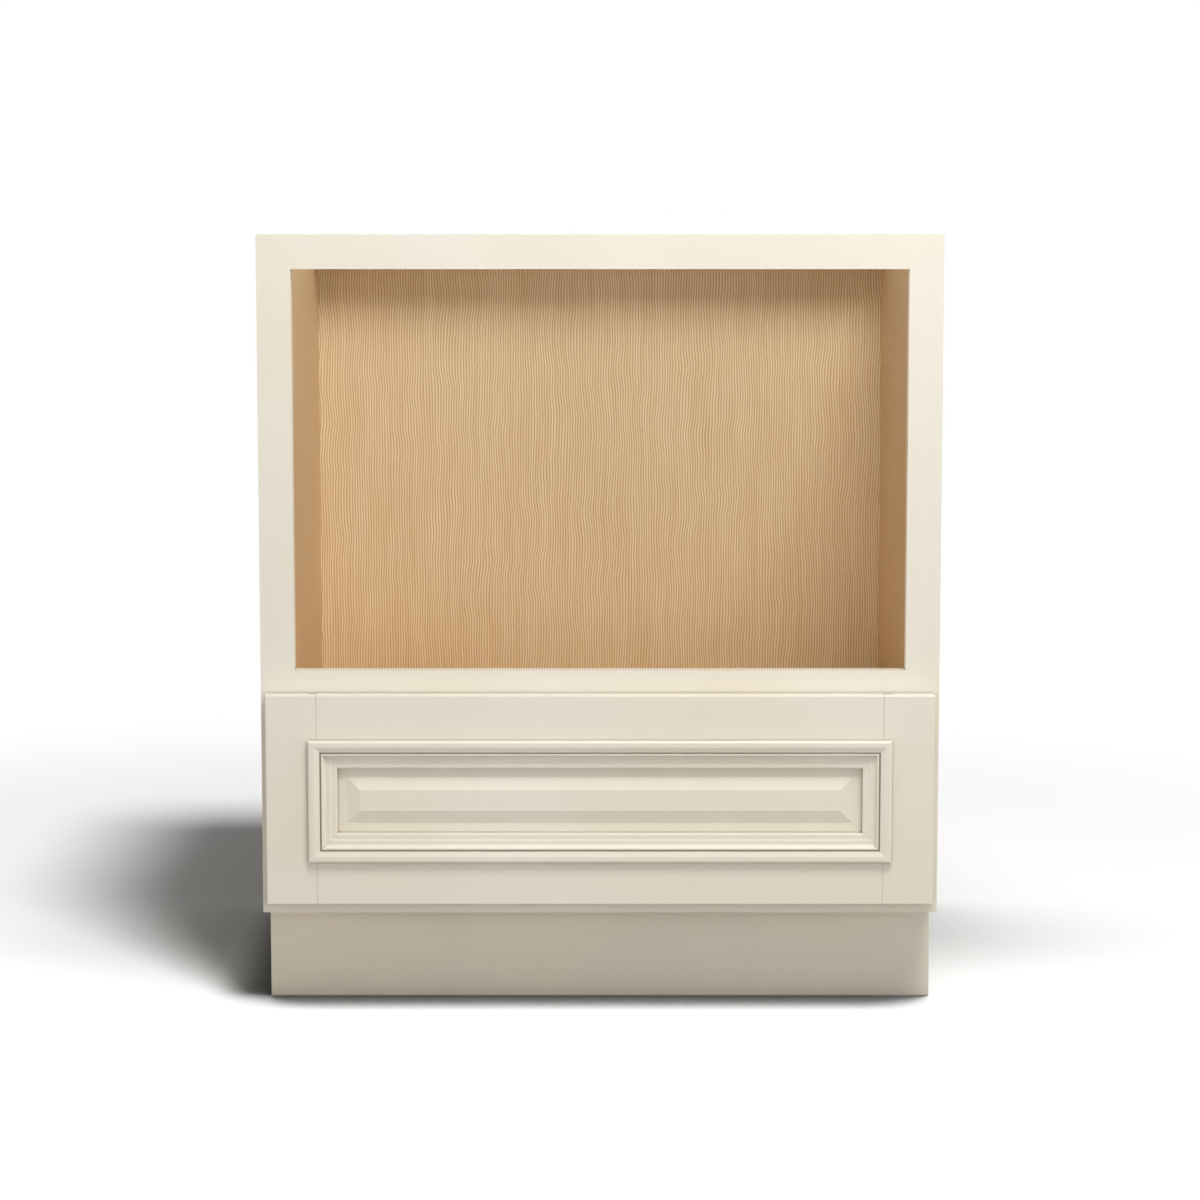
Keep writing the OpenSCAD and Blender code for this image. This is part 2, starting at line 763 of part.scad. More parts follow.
module bottom_board(room) {
  reach = bottom_groove - slack + room;
  span(box_in + reach, box_in_y - reach, box_y1 - box_t + reach, bottom_z, bottom_z + bottom_t + room);
}

// Section of one board of the drawer box, its top edges rounded
module board_section(x0, x1) {
  r = box_edge_r;
  translate([x0, box_z0]) square([x1 - x0, box_h - r]);
  translate([x0 + r, box_z0]) square([x1 - x0 - 2 * r, box_h]);
  for (x = [x0 + r, x1 - r]) translate([x, box_z1 - r]) circle(r);
}

// At the back, where the runners' notch takes the lowest half pin, the lowest tail reaches the lower edge
module drawer_side() {
  back_root = box_y1 - box_t;
  back_tails = tail_outline(back_root, box_y1);
  front_end = concat([[box_in_y, box_z0]], tail_outline(box_in_y, box_y0), [[box_in_y, box_z1]]);
  back_end = concat(
    [[box_y1, box_z0]], [for (i = [2:len(back_tails) - 1]) back_tails[i]], [[back_root, box_z1]]
  );
  color("wheat") difference() {
    intersection() {
      run_x(box_in, box_w / 2) polygon(concat(front_end, reversed(back_end)));
      run_y(box_y0, box_y1) board_section(box_in, box_w / 2);
    }
    bottom_board(slack);
  }
}

module drawer_side_right() drawer_side();
module drawer_side_left() flip_x() drawer_side();

// Sockets for the tails: dir is -1 at the front of the box and 1 at its back
module tail_sockets(root_y, dir) {
  y0 = root_y - dir * cut;
  y1 = root_y + dir * (box_t + cut);
  half0 = tail_at(-cut, tail_slack) / 2;
  half1 = tail_at(box_t + cut, tail_slack) / 2;
  both_sides() run_x(box_in - slack / 4, box_w / 2 + cut) for (z = tail_z)
    polygon([[y0, z - half0], [y0, z + half0], [y1, z + half1], [y1, z - half1]]);
}

module drawer_box_front() {
  color("wheat") difference() {
    span(box_w / 2, box_y0, box_in_y, box_z0, box_z1);
    tail_sockets(box_in_y, -1);
    bottom_board(slack);
    for (at = front_screws_at) screw_hole(at, "-y", front_screw_l);
  }
}

module drawer_box_back() {
  root = box_y1 - box_t;
  color("wheat") difference() {
    span(box_w / 2, root, box_y1, box_z0, box_z1);
    tail_sockets(root, 1);
    bottom_board(slack);
    both_sides() {
      // Notch for the runners, and the hole for the runner's hook
      block([lock_a1, root - cut, box_z0 - cut], [box_w / 2 + cut, box_y1 + cut, bottom_z]);
      translate([track_a, box_y1 + cut, hook_z]) rotate([90, 0, 0])
        cylinder(r = hook_r + slack, h = cut + hook_l + slack);
    }
  }
}

module drawer_bottom() {
  color("wheat") difference() {
    bottom_board(0);
    both_sides() for (at = lock_screws_at) screw_hole(at, "+z", lock_screw_l);
  }
}

// ---- Drawer front ----

// Half of a rounded slab's outline: flat back, front edges rounded
module slab_outline(half) {
  r = front_edge_r;
  difference() {
    translate([-half, front_y]) square([2 * half, front_t]);
    for (s = [-1, 1]) difference() {
      translate([s * half, front_y]) square(2 * r, center = true);
      translate([s * (half - r), front_y + r]) circle(r);
      translate([min(0, s * (half - r)), front_y - 2 * r]) square([half - r, 4 * r]);
      translate([-half, front_y + r]) square([2 * half, front_t]);
    }
  }
}

module front_slab() {
  intersection() {
    translate([0, 0, front_z0]) linear_extrude(front_h) slab_outline(front_w / 2);
    translate([0, 0, front_mid_z]) rotate([90, 0, 90]) linear_extrude(front_w, center = true)
      mirror([1, -1]) slab_outline(front_h / 2);
  }
}

panel_x = front_w / 2 - front_stile_w; // inner edges of the drawer front's frame
panel_z = front_h / 2 - front_rail_h;

// The groove round the inside of the frame, or the space of a tongue in it
module front_groove(reach, room) {
  span(panel_x + reach, margin_y - room, tongue_y + room,
       front_open_z - panel_z - reach, front_open_z + panel_z + reach);
}

module front_stile() {
  color("antiquewhite") difference() {
    intersection() {
      front_slab();
      block([panel_x, front_y - cut, front_z0 - cut],
            [front_w / 2 + cut, front_back_y + cut, front_z1 + cut]);
    }
    span(panel_x + front_groove_d, margin_y - slack / 2, tongue_y + slack / 2,
         front_z0 - cut, front_z1 + cut);
  }
}

// A rail between two heights, with the stub tenons that enter the stiles' groove
module front_rail(z0, z1) {
  tenon_in = 1; // drop of a tenon inside the rail's outer edge
  color("antiquewhite") difference() {
    intersection() {
      front_slab();
      union() {
        span(panel_x, front_y - cut, front_back_y + cut, z0, z1);
        span(panel_x + front_groove_d - slack, margin_y, tongue_y,
             max(z0, front_z0 + tenon_in), min(z1, front_z1 - tenon_in));
      }
    }
    front_groove(front_groove_d, slack / 2);
  }
}

module front_stile_right() front_stile();
module front_stile_left() flip_x() front_stile();
module front_rail_top() front_rail(front_open_z + panel_z, front_z1);
module front_rail_bottom() front_rail(front_z0, front_open_z - panel_z);

// Section of the raised panel: tongue, flat margin, bevel and field in front, a rabbet behind
module panel_section(half, border) {
  edge = half + front_groove_d - panel_float;
  bevel = half + (border - mould_w) - panel_margin;
  field = bevel - panel_bevel;
  behind = half - panel_back_gap;
  right_half = [
    [edge, tongue_y], [edge, margin_y], [bevel, margin_y], [field, margin_y - panel_rise]
  ];
  back_half = [[behind, front_back_y], [behind, tongue_y]];
  polygon(concat(
    right_half, [for (p = reversed(right_half)) [-p[0], p[1]]],
    [for (p = reversed(back_half)) [-p[0], p[1]]], back_half
  ));
}

module raised_panel() {
  color("antiquewhite") difference() {
    intersection() {
      translate([0, 0, front_z0]) linear_extrude(front_h)
        panel_section(panel_x, front_stile_w - mould_side);
      translate([0, 0, front_open_z]) rotate([90, 0, 90]) linear_extrude(front_w, center = true)
        mirror([1, -1]) panel_section(panel_z, front_rail_h - mould_end);
    }
    for (at = front_screws_at) screw_hole(at, "-y", front_screw_l);
  }
}

// Points along an arc, its ends included
function arc(middle, r, from, to) = [
  for (i = [0:arc_steps]) let (a = from + (to - from) * i / arc_steps) middle + r * [cos(a), sin(a)]
];

// Section of the moulding: u runs inwards from its outer edge, v forwards from the drawer front's face
module moulding_section() {
  slope_u = bead_at - quirk_w; // foot of the slope inside the crest
  bead_u = bead_at + bead_r;
  cove_r = bead_v + step_v;
  apart = bead_r + cove_r - cove_bite; // from the bead's middle to the cove's
  meet = (apart * apart + bead_r * bead_r - cove_r * cove_r) / (2 * apart);
  bead_end = acos(meet / bead_r);
  cove_start = 180 - acos((apart - meet) / cove_r);
  step_end = bead_u + apart + step_w;
  polygon(concat(
    [[0, 0]],
    arc([crest_r, mould_proud - crest_r], crest_r, 180, 90),
    [[crest_w, mould_proud], [slope_u, mould_proud - crest_drop], [slope_u, quirk_v], [bead_at, quirk_v]],
    arc([bead_u, bead_v], bead_r, 180, bead_end),
    arc([bead_u + apart, bead_v], cove_r, cove_start, 270),
    [[step_end, -step_v], [step_end + step_slope, -inner_v], [mould_w - inner_chamfer, -inner_v]],
    [[mould_w, -inner_v - inner_chamfer / 2], [mould_w, -panel_drop]],
    [[mould_rabbet, -panel_drop], [mould_rabbet, 0]]
  ));
}

// A length of moulding along X, mitred at both ends, its outer edge down at z = 0
module moulding_length(length) {
  half = length / 2;
  color("antiquewhite") intersection() {
    rotate([90, 0, 90]) linear_extrude(length, center = true) rotate(90) moulding_section();
    rotate([90, 0, 0]) linear_extrude(4 * mould_proud, center = true)
      polygon([[-half, 0], [half, 0], [half - mould_w, mould_w], [mould_w - half, mould_w]]);
  }
}

mould_x = front_w / 2 - mould_side;
mould_z = front_h / 2 - mould_end;

module at_moulding(x, z, turn) {
  translate([x, front_y, front_open_z + z]) rotate([0, turn, 0]) children();
}

module moulding_bottom() at_moulding(0, -mould_z, 0) moulding_length(2 * mould_x);
module moulding_top() at_moulding(0, mould_z, 180) moulding_length(2 * mould_x);
module moulding_left() at_moulding(-mould_x, 0, 90) moulding_length(2 * mould_z);
module moulding_right() at_moulding(mould_x, 0, -90) moulding_length(2 * mould_z);

module drawer_front_screws() {
  color("dimgray") for (at = front_screws_at) screw(at, "-y", front_screw_l);
}

module front_bumpers() {
  color("whitesmoke") for (s = [-1, 1], z = [front_z0 + bumper_in, front_z1 - bumper_in])
    translate([s * (front_w / 2 - bumper_in), front_back_y, z]) rotate([-90, 0, 0])
      cylinder(r = bumper_r, h = front_gap - run_gap);
}

// ---- Locking devices and release levers ----

module locking_device() {
  y1 = box_in_y + lock_l;
  room_z0 = lever_z - lever_gap;
  room_z1 = lever_z + lever_t + lever_gap;
  color("dimgray") difference() {
    union() {
      difference() {
        block([lock_a0, box_in_y, lock_z], [lock_a1, y1, bottom_z]);
        block([lock_a0 - cut, box_in_y + lock_wall, room_z0], [lock_a1 + cut, y1 - lock_block, room_z1]);
      }
      translate([pivot_a, pivot_y, room_z0 - cut]) cylinder(r = pivot_r, h = room_z1 - room_z0 + 2 * cut);
    }
    for (at = lock_screws_at) screw_hole(at, "+z", lock_screw_l);
  }
}

module right_locking_device() locking_device();
module left_locking_device() flip_x() locking_device();

module locking_device_screws() {
  color("dimgray") both_sides() for (at = lock_screws_at) screw(at, "+z", lock_screw_l);
}

// Lever on a vertical pivot: its catch enters the drawer runner, its pad is pressed by a finger
module release_lever() {
  catch_a = runner_a + steel_t / 2;
  pad_a = lock_a0 - pad_reach;
  color("darkorange") difference() {
    translate([0, 0, lever_z]) linear_extrude(lever_t) {
      translate([pivot_a, pivot_y]) circle(lever_hub_r);
      translate([pad_a + pad_w / 2, pivot_y - lever_w / 2]) square([catch_a - pad_a - pad_w / 2, lever_w]);
      translate([pad_a, pivot_y - lever_w / 2]) square([pad_w, pad_l]);
    }
    translate([pivot_a, pivot_y, lever_z - cut]) cylinder(r = pivot_r + pivot_play, h = lever_t + 2 * cut);
  }
}

module right_release_lever() release_lever();
module left_release_lever() flip_x() release_lever();

left_stile();
right_stile();
top_rail();
middle_rail();
bottom_rail();
left_side_panel();
right_side_panel();
back_panel();
upper_hanging_rail();
lower_hanging_rail();
floor_panel();
toe_kick_board();
microwave_deck();
deck_front_board();
back_stretcher();
front_corner_braces();
left_fixed_rail();
right_fixed_rail();
rear_rail_brackets();
bracket_screws();
rail_screws();
left_damper_housing();
right_damper_housing();
left_middle_runner();
right_middle_runner();
left_lower_roller_cage();
right_lower_roller_cage();
left_upper_roller_cage();
right_upper_roller_cage();
left_drawer_runner();
right_drawer_runner();
drawer_side_left();
drawer_side_right();
drawer_box_front();
drawer_box_back();
drawer_bottom();
front_stile_left();
front_stile_right();
front_rail_top();
front_rail_bottom();
raised_panel();
moulding_top();
moulding_bottom();
moulding_left();
moulding_right();
drawer_front_screws();
front_bumpers();
left_locking_device();
right_locking_device();
locking_device_screws();
left_release_lever();
right_release_lever();
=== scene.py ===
"""Microwave base cabinet: the visual model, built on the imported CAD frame.

Everything is in metres, in the frame of the CAD model: +Z up, the front faces -Y.
"""

import math

import bpy
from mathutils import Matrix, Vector


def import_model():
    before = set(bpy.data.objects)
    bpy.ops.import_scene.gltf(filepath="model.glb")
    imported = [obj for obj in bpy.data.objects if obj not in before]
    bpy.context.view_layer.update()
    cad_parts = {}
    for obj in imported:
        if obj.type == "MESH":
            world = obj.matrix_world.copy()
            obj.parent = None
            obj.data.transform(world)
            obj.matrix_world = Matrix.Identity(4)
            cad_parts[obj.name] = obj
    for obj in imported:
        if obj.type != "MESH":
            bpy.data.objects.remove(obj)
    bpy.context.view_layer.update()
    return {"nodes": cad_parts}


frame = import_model()
NODES = frame["nodes"]

MM = 0.001
WHITE = (1.0, 1.0, 1.0, 1.0)

# ---------------------------------------------------------------- camera, light

CAMERA_PLACE = (0.0, -3.7559, 0.847)
CAMERA_PITCH = 6.212  # degrees down from level
CAMERA_LENS = 93.4  # mm
CAMERA_SENSOR = 36.0  # mm
CAMERA_REACH = 200.0

# Soft boxes: each stands at its distance from AIM, in its direction
AIM = Vector((0.0, -0.25, 0.45))
KEY_DIRECTION = Vector((0.38, -1.0, 1.7))
KEY_DISTANCE = 2.7
KEY_SIZE = 1.3
KEY_POWER = 55.5
FILL_DIRECTION = Vector((0.55, -1.0, 0.25))
FILL_DISTANCE = 4.0
FILL_SIZE = 3.0
FILL_POWER = 8.0

# Sky: strong near the horizon, weak overhead. Heights and reaches are parts of a unit direction.
SKY_STRENGTH = 2.75
SKY_TOP_STRENGTH = 0.08
SKY_BAND_LOW = 0.17
SKY_BAND_HIGH = 0.37
SKY_FRONT_SHARE = 0.35  # of its strength, straight in front
SKY_FRONT_CLOSE = 0.94
SKY_FRONT_WIDE = 0.68

# Floor: its grey for the object, and its brightness for the eye
FLOOR_SIZE = 60.0
FLOOR_GREY = 0.17
FLOOR_SEEN = 0.60
FLOOR_SUN_DIRECTION = Vector((0.32, -0.66, 0.876))
FLOOR_SUN_STRENGTH = 4.35
FLOOR_SUN_ANGLE = 13.0  # degrees
# Past these distances from the shadow, the seen floor goes over to plain white
SHADOW_MIDDLE = (-0.20, 0.35, 0.0)
FLOOR_NEAR = 0.95
FLOOR_FAR = 1.75
# Painted shade: a wide soft darkening of the seen floor beside the object, from HALO_FRONT to the
# back
HALO_REACH = 0.9
HALO_OPEN = (0.45, 0.95)
HALO_DARK = 0.54
HALO_FRONT = -0.28
HALO_BACK = 0.15
# Painted shade: a narrow dark line where the object meets the floor, on the seen floor and on the
# grey that lights the object
CONTACT_REACH = 0.10
CONTACT_OPEN = (0.45, 0.85)
CONTACT_TOWARD = Vector((0.5, 0.7, 0.5))
CONTACT_DARK = 0.14

# ---------------------------------------------------------------- colours (0-255 sRGB)

CREAM = (240, 233, 217)
CREAM_WARM = (237, 229, 210)
# Painted warm bounce light: the toe kick's paint is warmer than CREAM, standing in for the warm
# light it gets in shade
KICK_CREAM_PAINTED_BOUNCE = (243, 232, 209)
CREAM_WORN = (222, 211, 186)
# Dark tone for the painted shade in creases and nooks, and for the real hairline of the front's
# joints
SHADE_AND_JOINT_TONE = (150, 138, 118)
VENEER = (232, 209, 167)
VENEER_DARK = (190, 146, 98)
VENEER_LIGHT = (248, 232, 198)
VENEER_FIGURE = (223, 194, 149)
PLY_FACE = (214, 184, 142)
PLY_FACE_DARK = (190, 154, 110)
PLY_LIGHT = (222, 196, 156)
PLY_DARK = (164, 124, 84)
MAPLE = (226, 196, 154)
MAPLE_DARK = (204, 166, 120)
MAPLE_PLY = (214, 178, 134)
MAPLE_END = (184, 146, 104)
ZINC = (206, 209, 212)
ZINC_DARK = (168, 172, 178)
SCREW = (190, 184, 160)
SCREW_DARK = (140, 132, 108)
GREY_PLASTIC = (112, 115, 118)
GREY_PLASTIC_DARK = (98, 101, 104)
WHITE_PLASTIC = (226, 226, 218)
WHITE_PLASTIC_DARK = (216, 216, 206)
ORANGE_PLASTIC = (216, 104, 34)
ORANGE_PLASTIC_DARK = (206, 96, 30)
RUBBER = (214, 214, 208)
RUBBER_DARK = (204, 204, 198)

# ---------------------------------------------------------------- surfaces
# A _SCALE is a noise's detail per metre, a _DEPTH is a bump's height.

# The part of a noise's range that a change of colour or gloss uses
MIDDLE = (0.3, 0.7)

# Side panels' faces, measured from the middle plane
CASE_INNER = 0.3651
CASE_OUTER = 0.3810
FACE_TOLERANCE = 0.0004
# A face counts as facing an axis from this part of a unit normal on
FACING = (0.6, 0.8)

DRIFT_SCALE = 3.5
SPRAY_SCALE = 420.0
SPRAY_DEPTH = 0.00004
CLOUD_SCALE = 26.0
PAINT_GLOSS = (0.30, 0.38)
WEAR_RADIUS = 0.0009
WEAR_SCALE = 60.0
WEAR_SHARE = 0.2
EDGE_SAMPLES = 4
EDGE_TURN = (0.995, 0.85)  # cosines of the turn on a flat face and on an edge

# Painted shade: the paint colour is darkened where shade falls, in narrow creases and a little in
# wider nooks
SHADE_SAMPLES = 8
CREASE_REACH = 0.0036
CREASE_OPEN = (0.45, 0.82)
CREASE_DARK = 0.72
NOOK_REACH = 0.015
NOOK_OPEN = (0.5, 1.0)
NOOK_DARK = 0.12

# Hairline over the drawer front's joints, at this distance from the middle plane
FRONT_JOINT = 0.3175
JOINT_CORE = 0.0004
JOINT_FADE = 0.0013
JOINT_DARK = 0.23

# Grain: distance of its lines, and the noises that bend and break them
GRAIN_PITCH = 0.0034
SWAY_SCALE = 9.0
SWAY_REACH = 0.018
SHIVER_ACROSS = 45.0
SHIVER_ALONG = 30.0
SHIVER_SLICE = 3.0
SHIVER_REACH = 0.0022
STREAKS_PER_LINE = 0.55
STREAK_ALONG = 7.0
STREAK_RANGE = (0.25, 0.75)
STREAK_LEAST = 0.6
FIGURE_ACROSS = 22.0
FIGURE_ALONG = 2.2
FIGURE_SLICE = 5.0
FIGURE_RANGE = (0.3, 0.72)
LATE_WOOD = (0.5, 1.0)  # the part of a line that is darker in plywood and maple

VENEER_FIGURE_SHARE = 0.35
VENEER_LIGHT_RANGE = (0.45, 0.95)
VENEER_DARK_RANGE = (0.35, 0.02)
VENEER_GLOSS = (0.50, 0.42)
VENEER_DEPTH = 0.00006
VENEER_COAT = {"Coat_Weight": 0.12, "Coat_Roughness": 0.35}
BACK_CONTRAST = 0.75
BOARD_CONTRAST = 0.4
SIDE_CONTRAST = 0.10
SIDE_DARKER = 0.3

PLY_LAYER = 0.0016
PLY_STEP = 0.35
PLY_WOBBLE_SCALE = 14.0
PLY_WOBBLE_REACH = 0.0006
PLY_FLECK_SCALE = 700.0
PLY_FLECK_RANGE = (0.4, 0.75)
PLY_FLECK_SHARE = 0.45
PLY_PITCH = 0.007
PLY_WANDER = 2.6
PLY_LINE_SHARE = 0.35
PLY_GLOSS = (0.72, 0.85)
FIBRE_SCALE = 300.0
FIBRE_DEPTH = 0.00012

MAPLE_PITCH = 0.0065
MAPLE_WANDER = 2.4
MAPLE_LINE_SHARE = 0.4
MAPLE_GLOSS = (0.42, 0.5)
MAPLE_DEPTH = 0.00005
MAPLE_COAT = {"Coat_Weight": 0.2, "Coat_Roughness": 0.3}
MAPLE_PLY_PITCH = 0.0052
MAPLE_PLY_GLOSS = 0.45
END_FLECK_SCALE = 900.0
END_FLECK_RANGE = (0.35, 0.7)
END_FLECK_SHARES = (0.1, 0.8)

SPANGLE_SCALE = 110.0
SPANGLE_TONES = 3.0
SPANGLE_SHARE = 0.35
ZINC_HAZE_SCALE = 40.0
ZINC_HAZE_RANGE = (0.4, 0.8)
ZINC_HAZE_SHARE = 0.4
ZINC_GLOSS = (0.28, 0.42)
DRAWN_SCALES = (900.0, 12.0, 900.0)  # steel drawn along Y
DRAWN_DEPTH = 0.00002
SCREW_HAZE_SCALE = 260.0
SCREW_HAZE_RANGE = (0.35, 0.7)
SCREW_GLOSS = (0.3, 0.45)
SCREW_DEPTH = 0.00003

PLASTIC_DRIFT_SCALE = 30.0
PLASTIC_TEXTURE_SCALE = 900.0
PLASTIC_DEPTH = 0.00004
PLASTIC_SMOOTHER = 0.05
PLASTIC_ROUGHER = 0.08

# Boards whose sharp edges are eased, in mm
EASED = {
    "toe_kick_board": 0.6,
    "left_side_panel": 0.3,
    "right_side_panel": 0.3,
    "floor_panel": 0.2,
    "microwave_deck": 0.2,
    "deck_front_board": 0.3,
}
EASE_SEGMENTS = 2
EASE_ANGLE = 40.0  # degrees: edges that turn less stay as they are
WELD_REACH = 0.00002


def srgb(levels):
    """A colour written in 0-255 levels, as the linear colour that a shader takes."""
    out = []
    for level in levels:
        share = level / 255.0
        if share <= 0.04045:
            out.append(share / 12.92)
        else:
            out.append(((share + 0.055) / 1.055) ** 2.4)
    return (*out, 1.0)


def is_socket(source):
    return isinstance(source, bpy.types.NodeSocket)


class Graph:
    """A node tree written in short calls. An input is a socket or a plain value."""

    def __init__(self, tree):
        self.nodes = tree.nodes
        self.links = tree.links
        self.coordinates = self.nodes.new("ShaderNodeTexCoord")

    def feed(self, socket, source):
        if is_socket(source):
            self.links.new(source, socket)
        else:
            socket.default_value = source

    def feed_colour(self, socket, colour):
        """colour is a socket or 0-255 levels."""
        self.feed(socket, colour if is_socket(colour) else srgb(colour))

    def math(self, operation, first, second=0.0):
        node = self.nodes.new("ShaderNodeMath")
        node.operation = operation
        self.feed(node.inputs[0], first)
        self.feed(node.inputs[1], second)
        return node.outputs[0]

    def times(self, first, second):
        return self.math("MULTIPLY", first, second)

    def plus(self, first, second):
        return self.math("ADD", first, second)

    def part(self, vector, axis):
        """One component of a vector, by the axis's name."""
        node = self.nodes.new("ShaderNodeSeparateXYZ")
        self.feed(node.inputs[0], vector)
        return node.outputs["XYZ".index(axis)]

    def join(self, x, y, z):
        node = self.nodes.new("ShaderNodeCombineXYZ")
        self.feed(node.inputs[0], x)
        self.feed(node.inputs[1], y)
        self.feed(node.inputs[2], z)
        return node.outputs[0]

    def vector_math(self, operation, first, second):
        node = self.nodes.new("ShaderNodeVectorMath")
        node.operation = operation
        self.feed(node.inputs[0], first)
        self.feed(node.inputs[1], second)
        return node.outputs

    def span(self, value, reach, to_low=0.0, to_high=1.0):
        """value from reach[0]..reach[1] to to_low..to_high, held at the ends, eased between."""
        node = self.nodes.new("ShaderNodeMapRange")
        node.interpolation_type = "SMOOTHSTEP"
        self.feed(node.inputs[0], value)
        for socket, number in zip(node.inputs[1:5], (*reach, to_low, to_high)):
            socket.default_value = number
        return node.outputs[0]

    def seen_share(self):
        """1 for the eye, also in a mirror or through glass, and 0 for other light."""
        rays = self.nodes.new("ShaderNodeLightPath").outputs
        seen = self.math("MAXIMUM", rays["Is Camera Ray"], rays["Is Glossy Ray"])
        return self.math("MAXIMUM", seen, rays["Is Transmission Ray"])

    def mix_shader(self, share, first, second):
        node = self.nodes.new("ShaderNodeMixShader")
        self.feed(node.inputs[0], share)
        self.links.new(first.outputs[0], node.inputs[1])
        self.links.new(second.outputs[0], node.inputs[2])
        return node


class Surface(Graph):
    """One material's nodes."""

    def __init__(self, name):
        self.material = bpy.data.materials.new(name)
        self.material.use_nodes = True
        super().__init__(self.material.node_tree)
        self.shader = self.nodes["Principled BSDF"]
        self.output = self.nodes["Material Output"]
        self.place = self.coordinates.outputs["Object"]
        self.facing = self.coordinates.outputs["Normal"]

    def noise(self, vector, scale, detail=2.0, roughness=0.5):
        node = self.nodes.new("ShaderNodeTexNoise")
        self.feed(node.inputs["Vector"], vector)
        node.inputs["Scale"].default_value = scale
        node.inputs["Detail"].default_value = detail
        node.inputs["Roughness"].default_value = roughness
        return node.outputs[0]

    def cells(self, vector, scale):
        """The middle of the crystal or cell that each point lies in."""
        node = self.nodes.new("ShaderNodeTexVoronoi")
        self.feed(node.inputs["Vector"], vector)
        node.inputs["Scale"].default_value = scale
        return node.outputs["Position"]

    def blend(self, share, first, second):
        node = self.nodes.new("ShaderNodeMix")
        node.data_type = "RGBA"
        self.feed(node.inputs[0], share)
        self.feed_colour(node.inputs[6], first)
        self.feed_colour(node.inputs[7], second)
        return node.outputs[2]

    def tint(self, base, tone, value, reach, least=0.0, most=1.0):
        """base turned towards tone, by the share least to most, as value goes through reach."""
        return self.blend(self.span(value, reach, least, most), base, tone)

    def bump(self, height, depth):
        """height, from 0 to 1, stands depth metres high on the surface."""
        node = self.nodes.new("ShaderNodeBump")
        node.inputs["Strength"].default_value = 1.0
        node.inputs["Distance"].default_value = depth
        self.feed(node.inputs["Height"], height)
        return node.outputs[0]

    def edge(self, radius):
        """Where a rounded edge of that radius would turn: 0 on flats, up to 1 on edges."""
        bevel = self.nodes.new("ShaderNodeBevel")
        bevel.samples = EDGE_SAMPLES
        bevel.inputs["Radius"].default_value = radius
        geometry = self.nodes.new("ShaderNodeNewGeometry")
        turn = self.vector_math("DOT_PRODUCT", bevel.outputs[0], geometry.outputs["Normal"])
        return self.span(turn["Value"], EDGE_TURN)

    def open_share(self, reach, samples, toward=None):
        """How much of the space within reach is free of other surfaces: 1 in the open."""
        node = self.nodes.new("ShaderNodeAmbientOcclusion")
        node.samples = samples
        node.inputs["Distance"].default_value = reach
        if toward is not None:
            self.links.new(self.join(*toward.normalized()), node.inputs["Normal"])
        return node.outputs["AO"]

    def facing_mask(self, axis):
        """1 where the surface faces along the axis, either way."""
        return self.span(self.math("ABSOLUTE", self.part(self.facing, axis)), FACING)

    def finish(self, colour, roughness, normal, **constants):
        self.links.new(colour, self.shader.inputs["Base Color"])
        self.feed(self.shader.inputs["Roughness"], roughness)
        self.links.new(normal, self.shader.inputs["Normal"])
        for name, value in constants.items():
            self.shader.inputs[name.replace("_", " ")].default_value = value
        return self.material


# ---------------------------------------------------------------- materials


def cream_layers(graph, tone=CREAM):
    """Colour, roughness and bump of the sprayed satin cream paint."""
    drift = graph.noise(graph.place, DRIFT_SCALE)
    colour = graph.tint(tone, CREAM_WARM, drift, (0.35, 0.68))
    spray = graph.noise(graph.place, SPRAY_SCALE, 2.0, 0.6)
    cloud = graph.noise(graph.place, CLOUD_SCALE, 3.0, 0.6)
    return colour, graph.span(cloud, (0.25, 0.75), *PAINT_GLOSS), spray


def cream_paint(name="cream_paint", tone=CREAM, joint=None):
    """Satin cream paint, with painted shade darkening its creases and nooks. joint is the distance
    from the middle at which the paint shows the hairline of a joint.
    """
    graph = Surface(name)
    colour, roughness, spray = cream_layers(graph, tone)
    patchy = graph.noise(graph.place, WEAR_SCALE, 3.0, 0.6)
    patches = graph.span(patchy, (0.35, 0.8), 0.0, WEAR_SHARE)
    colour = graph.blend(graph.times(graph.edge(WEAR_RADIUS), patches), colour, CREAM_WORN)
    # Painted shade: the colour darkens where other surfaces are close, in narrow creases and wider
    # nooks
    painted_crease_shade = graph.open_share(CREASE_REACH, SHADE_SAMPLES)
    colour = graph.tint(colour, SHADE_AND_JOINT_TONE, painted_crease_shade, CREASE_OPEN, CREASE_DARK, 0.0)
    painted_nook_shade = graph.open_share(NOOK_REACH, SHADE_SAMPLES)
    colour = graph.tint(colour, SHADE_AND_JOINT_TONE, painted_nook_shade, NOOK_OPEN, NOOK_DARK, 0.0)
    if joint is not None:
        across = graph.math("ABSOLUTE", graph.part(graph.place, "X"))
        away = graph.math("ABSOLUTE", graph.math("SUBTRACT", across, joint))
        colour = graph.tint(colour, SHADE_AND_JOINT_TONE, away, (JOINT_CORE, JOINT_FADE), JOINT_DARK, 0.0)
    return graph.finish(colour, roughness, graph.bump(spray, SPRAY_DEPTH))


